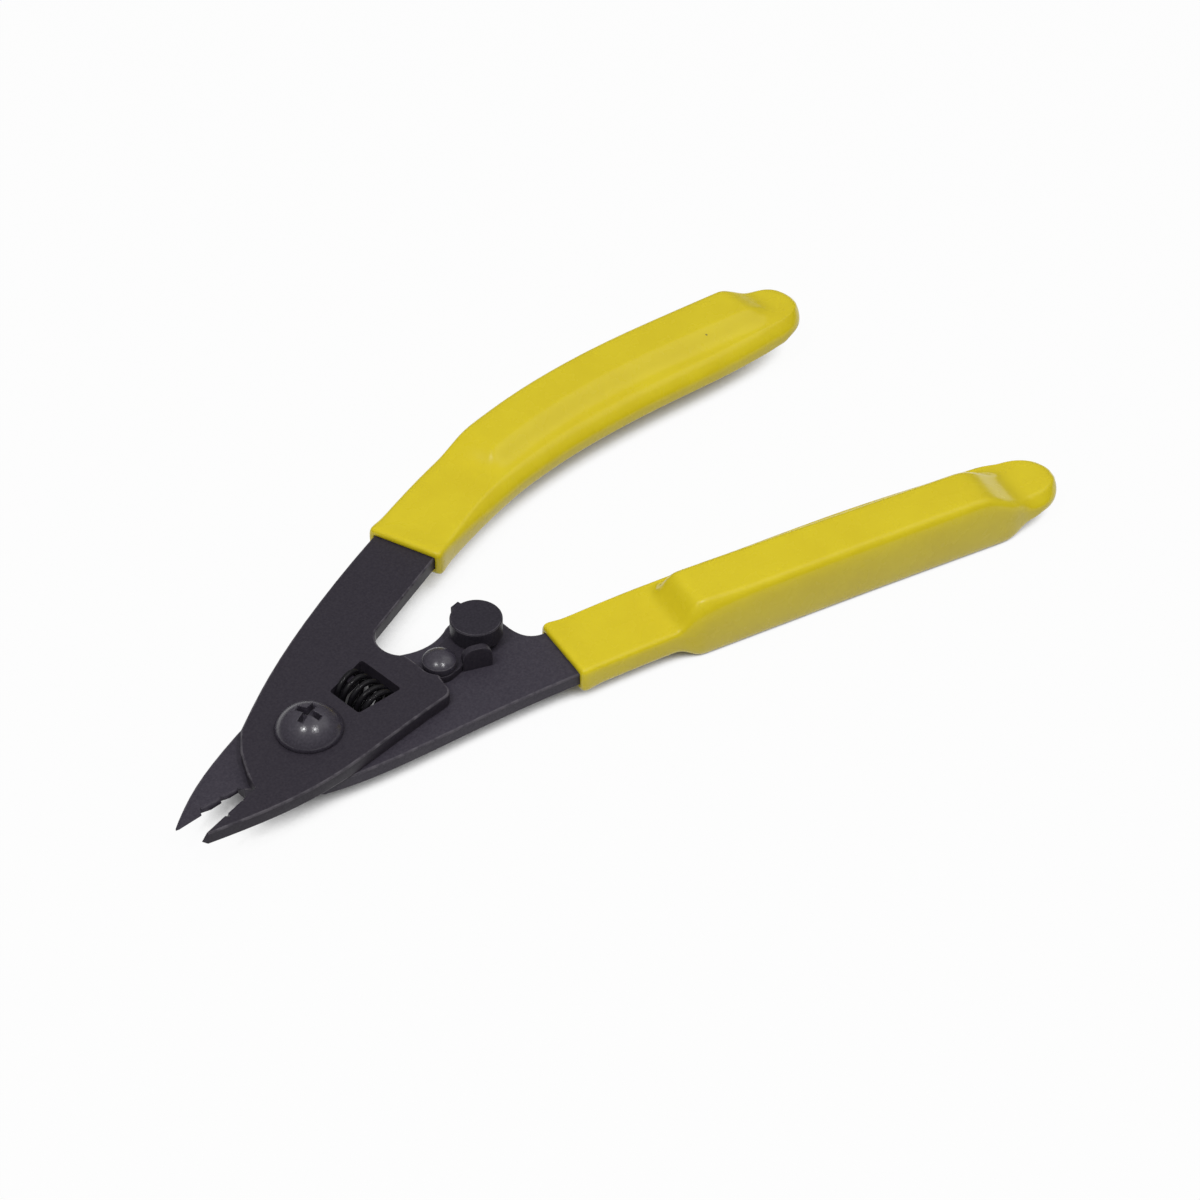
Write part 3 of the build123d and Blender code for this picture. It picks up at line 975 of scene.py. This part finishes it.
@dataclass
class ReturnSpring:
    """Coil spring on an axis that bends from the lower plate's seat to the upper plate's.

    Lengths are in millimetres.

    Attributes:
        coil: Radius of the coil, to the middle of the wire.
        wire: Radius of the wire.
        turns: Turns from end to end.
        end_turns: Flat turns at each end.
        seat_x: x of the middle of both seats.
        front_seat: y of the upper plate's seat, and its tilt in degrees.
        rear_seat: y of the lower plate's seat, and its tilt in degrees.
        sides: Sides of the wire's skin.
        steps: Rings of the skin per turn.
        closed_share: Share of its length that is left with the handles closed; not used.
    """

    coil: float = 3.1
    wire: float = 0.5
    turns: float = 4.6
    end_turns: float = 0.4
    seat_x: float = 13.0
    front_seat: Point2 = (6.65, 17.6)
    rear_seat: Point2 = (-1.58, 1.2)
    sides: int = 14
    steps: int = 44
    closed_share: float = 0.63

    def bend(self) -> tuple[Vector, float]:
        """Centre and radius of the bent axis.

        Returns:
            Centre in plan, and radius.
        """
        front, rear = (math.tan(math.radians(seat[1])) for seat in (self.front_seat, self.rear_seat))
        reach = (self.front_seat[0] - self.rear_seat[0]) / (front - rear)
        centre = Vector((self.seat_x - reach, self.rear_seat[0] - reach * rear))
        return centre, reach / math.cos(math.radians(self.rear_seat[1]))

    def point(self, turns: float) -> Vector:
        """Middle of the wire after some turns.

        Args:
            turns: Turns from the lower seat.

        Returns:
            Place about the pivot.
        """
        centre, radius = self.bend()
        end = math.asin(self.wire / (radius - self.coil))
        rising = self.turns - 2 * self.end_turns
        climb = min(max(turns - self.end_turns, 0.0), rising) / rising
        low, high = math.radians(self.rear_seat[1]) + end, math.radians(self.front_seat[1]) - end
        angle = low + climb * (high - low)
        out = radius + self.coil * math.cos(math.tau * turns)
        return Vector(
            (
                centre.x + out * math.cos(angle),
                centre.y + out * math.sin(angle),
                self.coil * math.sin(math.tau * turns),
            )
        )

    def ring(self, turns: float) -> list[Vector]:
        """Ring of the wire's skin after some turns.

        Args:
            turns: Turns from the lower seat.

        Returns:
            Places of the ring.
        """
        here = self.point(turns)
        along = (self.point(turns + 0.01) - self.point(turns - 0.01)).normalized()
        centre = (self.point(turns + 0.5) + here) / 2
        out = (here - centre).normalized()
        side = along.cross(out).normalized()
        out = side.cross(along)
        places = []
        for index in range(self.sides):
            angle = math.tau * index / self.sides
            places.append(in_frame(here + (out * math.cos(angle) + side * math.sin(angle)) * self.wire))
        return places

    def build(self, finish: SteelFinish) -> bpy.types.Object:
        """Winds the spring in place of its node.

        Args:
            finish: Finish of the wire.

        Returns:
            The spring's object.
        """
        loft = Loft(self.ring(0.0))
        count = round(self.turns * self.steps)
        for step in range(1, count + 1):
            loft.grow(self.ring(self.turns * step / count))
        piece = loft.finish("return_spring_coil")
        dress(piece, finish.build())
        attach(piece, "rear")
        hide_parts("return_spring")
        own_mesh(piece)
        return piece


@dataclass
class Steelwork:
    """Plates, fasteners, spring and lock.

    Attributes:
        plate: Finish of the upper plate and the lever.
        under: Finish of the lower plate, whose oxide is a little paler.
        fastener: Finish of the screw, nut and rivet, which are glossier.
        knob_with_painted_shade: Finish of the lock's knob, a little darker than the plate's as painted
            shade.
        wire: Finish of the spring.
    """

    plate: SteelFinish = SteelFinish("black_oxide_plate")
    under: SteelFinish = SteelFinish("black_oxide_lower_plate", colour=(54, 50, 60), light=(68, 64, 73))
    fastener: SteelFinish = SteelFinish(
        "black_oxide_fastener", colour=(52, 48, 58), light=(66, 62, 72), roughness=(0.22, 0.3), specular=0.7
    )
    # Painted shade: the knob's oxide is set a little darker than the plate's so that the knob looks shaded.
    knob_with_painted_shade: SteelFinish = SteelFinish(
        "black_oxide_knob_painted_shade", colour=(41, 38, 46), light=(54, 51, 59), roughness=(0.4, 0.5), specular=0.2
    )
    wire: SteelFinish = SteelFinish(
        "spring_wire", colour=(16, 15, 18), light=(26, 24, 28), roughness=(0.2, 0.3)
    )

    def fittings(self) -> list[Fitting]:
        """Pieces that keep their nodes' shapes.

        Returns:
            The fittings, plates first.
        """
        front_edge = ((-26.3, -7.55), (-14.44, -4.28), 2.3)
        rear_edge = ((-27.5, -3.1), (-14.33, -2.23), 3.2)
        return [
            Fitting("front_plate", "front", Slot.PLATE, 0.35, self.plate, 3, outline=True, keen=front_edge),
            Fitting("rear_plate", "rear", Slot.PLATE, 0.35, self.under, 3, outline=True, keen=rear_edge),
            Fitting("lock_lever", "lock", Slot.PLATE, 0.15, self.plate),
            Fitting("pivot_screw", "rear", Slot.HARDWARE, 0.12, self.fastener),
            Fitting("pivot_nut", "rear", Slot.HARDWARE, 0.15, self.fastener),
            Fitting("lock_rivet", "rear", Slot.HARDWARE, 0.15, self.fastener),
            Fitting("lock_knob", "lock", Slot.HARDWARE, 0.15, self.knob_with_painted_shade),
        ]

    def build(self) -> list[bpy.types.Object]:
        """Makes every steel piece.

        Returns:
            The pieces' objects.
        """
        pieces = [fitting.build() for fitting in self.fittings()]
        pieces.append(ReturnSpring().build(self.wire))
        return pieces


@dataclass(frozen=True)
class Lamp:
    """Soft square lamp that looks at a point.

    Attributes:
        name: Name of the lamp.
        place: Its place in metres.
        size: Side of the square in metres.
        power: Power in watts.
        mirrored: Whether glossy skins show the lamp itself.
        aim: Point that it looks at.
    """

    name: str
    place: Point3
    size: float
    power: float
    mirrored: bool = True
    aim: Point3 = (0.0, 0.0, 0.005)

    def build(self) -> bpy.types.Object:
        """Makes the lamp.

        Returns:
            The lamp's object.
        """
        data = bpy.data.lights.new(self.name, "AREA")
        data.size = self.size
        data.energy = self.power
        lamp = bpy.data.objects.new(self.name, data)
        lamp.location = self.place
        lamp.visible_glossy = self.mirrored
        lamp.rotation_mode = "QUATERNION"
        lamp.rotation_quaternion = (Vector(self.aim) - Vector(self.place)).to_track_quat("-Z", "Y")
        bpy.context.scene.collection.objects.link(lamp)
        return lamp


@dataclass
class Studio:
    """White floor, soft lamps, dim sky and the camera.

    Attributes:
        camera_aim: Point of the floor at the middle of the picture, in metres.
        camera_turn: Turn of the camera about the vertical, in degrees.
        camera_tilt: How far it looks down, in degrees.
        camera_distance: Its distance from that point, in metres.
        lens: Focal length in millimetres.
        sensor: Width of the picture in the camera, in millimetres.
        floor_size: Side of the floor in metres.
        floor_grey: Brightness of the floor's paint, for the light that it throws back.
        fill: Strength of the sky at the horizon and overhead.
        painted_shade_reach: How near the part has to be for the painted shade on the floor, in metres.
        shade: Lowest and highest openness of the floor, then the share of white glow at each, so that the
            glow fades into painted shade near the part.
        lamps: The lamps.
    """

    camera_aim: Point3 = (0.005653, -0.004747, 0.0)
    camera_turn: float = -39.0
    camera_tilt: float = 43.0
    camera_distance: float = 0.663
    lens: float = 117.66
    sensor: float = 36.0
    floor_size: float = 4.0
    floor_grey: float = 0.6
    fill: Point2 = (0.08, 0.63)
    painted_shade_reach: float = 0.03
    shade: tuple[float, float, float, float] = (0.16, 0.4, 0.0, 0.96)
    lamps: tuple[Lamp, ...] = (
        Lamp("spot_left", (-0.386, -0.063, 0.85), 0.06, 1.4),
        Lamp("spot_right", (0.018, -0.391, 0.85), 0.06, 1.4),
        Lamp("soft_box", (-0.40, -0.20, 0.92), 0.85, 2.8, mirrored=False),
        Lamp("sheen_box", (0.52, -0.16, 0.84), 0.7, 0.95),
    )

    def camera(self) -> None:
        """Sets the camera at the product view."""
        data = bpy.data.cameras.new("product_view")
        data.lens = self.lens
        data.sensor_width = self.sensor
        data.clip_start = 0.01
        data.clip_end = 20
        turn = Matrix.Rotation(math.radians(self.camera_turn), 4, "Z")
        tilt = Matrix.Rotation(math.radians(90 - self.camera_tilt), 4, "X")
        away = Matrix.Translation((0, 0, self.camera_distance))
        camera = bpy.data.objects.new("product_view", data)
        camera.matrix_world = Matrix.Translation(self.camera_aim) @ turn @ tilt @ away
        bpy.context.scene.collection.objects.link(camera)
        bpy.context.scene.camera = camera

    def floor(self) -> None:
        """Lays the floor under the part."""
        mesh = bmesh.new()
        bmesh.ops.create_grid(mesh, x_segments=1, y_segments=1, size=self.floor_size / 2)
        piece = as_piece(mesh, "floor", smooth=False)
        dress(piece, self.floor_paint())

    def floor_paint(self) -> bpy.types.Material:
        """Makes the floor's paint: a white glow for seen rays, faded near the part by ambient occlusion
        into painted shade, over a grey paint that keeps the real shadow.

        Returns:
            The material.
        """
        material = bpy.data.materials.new("white_floor")
        material.use_nodes = True
        tree = material.node_tree
        tree.nodes.clear()
        output = tree.nodes.new("ShaderNodeOutputMaterial")
        mixer = tree.nodes.new("ShaderNodeMixShader")
        paint = tree.nodes.new("ShaderNodeBsdfDiffuse")
        paint.inputs["Color"].default_value = (self.floor_grey, self.floor_grey, self.floor_grey, 1)
        glow = tree.nodes.new("ShaderNodeEmission")
        glow.inputs["Strength"].default_value = 1.0
        # Painted shade: ambient occlusion fades the white glow near and under the part, on top of the real
        # shadow in the grey paint.
        nearby = tree.nodes.new("ShaderNodeAmbientOcclusion")
        nearby.inputs["Distance"].default_value = self.painted_shade_reach
        clear = map_range(tree, nearby.outputs["AO"], self.shade)
        share = tree.nodes.new("ShaderNodeMath")
        share.operation = "MULTIPLY"
        tree.links.new(clear.outputs["Result"], share.inputs[1])
        tree.links.new(self.seen(tree), share.inputs[0])
        tree.links.new(share.outputs[0], mixer.inputs["Fac"])
        tree.links.new(paint.outputs["BSDF"], mixer.inputs[1])
        tree.links.new(glow.outputs["Emission"], mixer.inputs[2])
        tree.links.new(mixer.outputs["Shader"], output.inputs["Surface"])
        return material

    def seen(self, tree: bpy.types.NodeTree) -> bpy.types.NodeSocket:
        """Factor of 1 for rays that show the background: straight, mirrored or through glass.

        Args:
            tree: Node tree that gets the nodes.

        Returns:
            The socket that gives the factor.
        """
        path = tree.nodes.new("ShaderNodeLightPath")
        factor = path.outputs["Is Camera Ray"]
        for name in ("Is Glossy Ray", "Is Transmission Ray"):
            either = tree.nodes.new("ShaderNodeMath")
            either.operation = "MAXIMUM"
            tree.links.new(factor, either.inputs[0])
            tree.links.new(path.outputs[name], either.inputs[1])
            factor = either.outputs[0]
        return factor

    def world(self) -> None:
        """Sets a sky that is dim at the horizon and bright overhead."""
        world = bpy.data.worlds.new("studio_sky")
        bpy.context.scene.world = world
        world.use_nodes = True
        tree = world.node_tree
        tree.nodes.clear()
        output = tree.nodes.new("ShaderNodeOutputWorld")
        sky = tree.nodes.new("ShaderNodeBackground")
        ways = tree.nodes.new("ShaderNodeTexCoord")
        parts = tree.nodes.new("ShaderNodeSeparateXYZ")
        level = map_range(tree, parts.outputs["Z"], (0.0, 1.0, *self.fill))
        tree.links.new(ways.outputs["Generated"], parts.inputs["Vector"])
        tree.links.new(level.outputs["Result"], sky.inputs["Strength"])
        tree.links.new(sky.outputs["Background"], output.inputs["Surface"])

    def build(self) -> None:
        """Sets up everything around the part."""
        bpy.context.scene.view_settings.view_transform = "Standard"
        self.world()
        self.floor()
        self.camera()
        for lamp in self.lamps:
            lamp.build()


def grips() -> list[Grip]:
    """The two grips, with the stations of their handles and bars.

    Returns:
        The front grip and the rear grip.
    """
    front = Grip(
        name="front_grip_vinyl",
        node="front_grip",
        body="front",
        strip=(
            (37.9, 25.2, 11.9, 22.0),
            (60.3, 33.0, 12.4, 14.5),
            (71.2, 34.8, 11.9, 8.0),
            (91.5, 36.0, 12.1, 0.0),
            (111.9, 35.0, 11.7, -2.5),
            (126.4, 34.95, 10.9, 0.0),
        ),
        ridge=(
            (60.3, 35.3, 16.0),
            (77.5, 38.65, 6.5),
            (91.3, 39.4, 0.5),
            (104.4, 38.9, -4.2),
            (124.4, 37.35, -4.6),
        ),
        inner=-1,
        plate_low=0.03,
        flare_start=56.9,
        flare_length=7.2,
        upper_tail=(121.2, 6.8),
        lower_tail=(120.8, 5.0),
        upper_round=1.7,
        web_edge=1.8,
        brow=(0.4, 0.9),
    )
    rear = Grip(
        name="rear_grip_vinyl",
        node="rear_grip",
        body="rear",
        strip=(
            (44.1, -9.6, 11.6, -8.5),
            (61.6, -12.1, 12.0, -9.8),
            (98.0, -18.6, 12.0, -10.9),
            (132.1, -26.06, 10.8, -12.5),
        ),
        ridge=((65.0, -15.8, -10.6), (94.0, -21.2, -10.6), (127.1, -27.75, -10.9)),
        inner=1,
        plate_low=-2.53,
        flare_start=62.3,
        flare_length=4.8,
        upper_tail=(120.3, 10.6),
        lower_tail=(126.2, 5.0),
        bar_edge=1.1,
        corner_edge=1.9,
        spread=((65.0, 1.8), (118.0, 0.85)),
        web_edge=0.7,
        nub_trim=(0.2, 0.0),
    )
    return [front, rear]


def main() -> None:
    """Builds the part and its studio, and reports each piece."""
    logging.basicConfig(level=logging.INFO, format="%(message)s")
    vinyl = VinylFinish().build()
    for grip in grips():
        piece = grip.build(vinyl)
        LOG.info("%s on %s, %d points", piece.name, grip.body, len(piece.data.vertices))
    for piece in Steelwork().build():
        LOG.info("%s, %d points", piece.name, len(piece.data.vertices))
    Studio().build()


if __name__ == "__main__":
    main()
